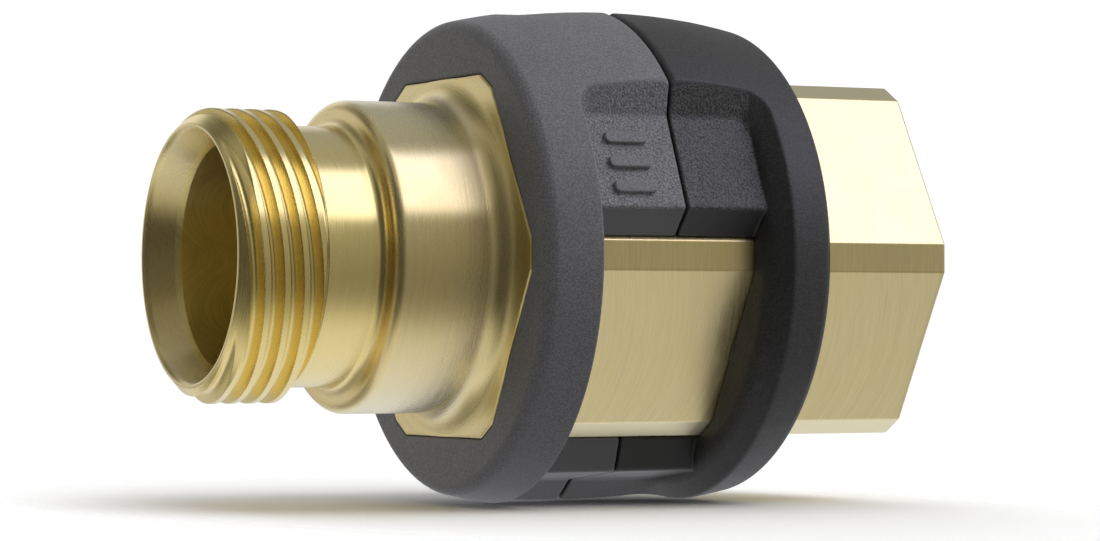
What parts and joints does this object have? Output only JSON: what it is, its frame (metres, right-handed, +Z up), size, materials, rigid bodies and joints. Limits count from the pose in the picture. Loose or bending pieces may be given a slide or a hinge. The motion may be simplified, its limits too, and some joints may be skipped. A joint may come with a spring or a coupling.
{
  "type": "hose thread adapter",
  "caption": "Brass hose adapter with a coarse male thread, hexagon body, threaded socket with sealing nipple, and a two-tone moulded grip sleeve.",
  "frame": {"origin": "on the flow axis, midway between the male end's mouth and the socket's end face", "axes": "+X along the flow axis from the male end to the threaded socket; +Z up, square to one pair of hexagon flats; +Y away from the side that shows a window"},
  "size_m": [0.056, 0.0372, 0.0374],
  "materials": {
    "turned_brass": "pale brass, satin, with fine turning and milling lines",
    "nipple_steel": "stainless steel, finely turned",
    "seal_rubber": "smooth black nitrile rubber",
    "backup_plastic": "off-white fluoropolymer",
    "grey_plastic": "mid grey moulded plastic with a fine spark-eroded grain, coarser on the finger pads",
    "black_plastic": "charcoal black moulded plastic with the same grain"
  },
  "bodies": {
    "fitting": {"brass_body": "turned_brass", "sealing_nipple": "nipple_steel", "o_ring": "seal_rubber", "backup_ring": "backup_plastic"},
    "front_grip": {"front_shell": "grey_plastic"},
    "rear_grip": {"rear_shell": "black_plastic"}
  },
  "joints": [
    {"name": "front_grip_slide", "type": "slide", "parent": "fitting", "child": "front_grip", "axis": [-1, 0, 0], "range_m": [0, 0.036]},
    {"name": "rear_grip_slide", "type": "slide", "parent": "fitting", "child": "rear_grip", "axis": [1, 0, 0], "range_m": [0, 0.03]}
  ]
}
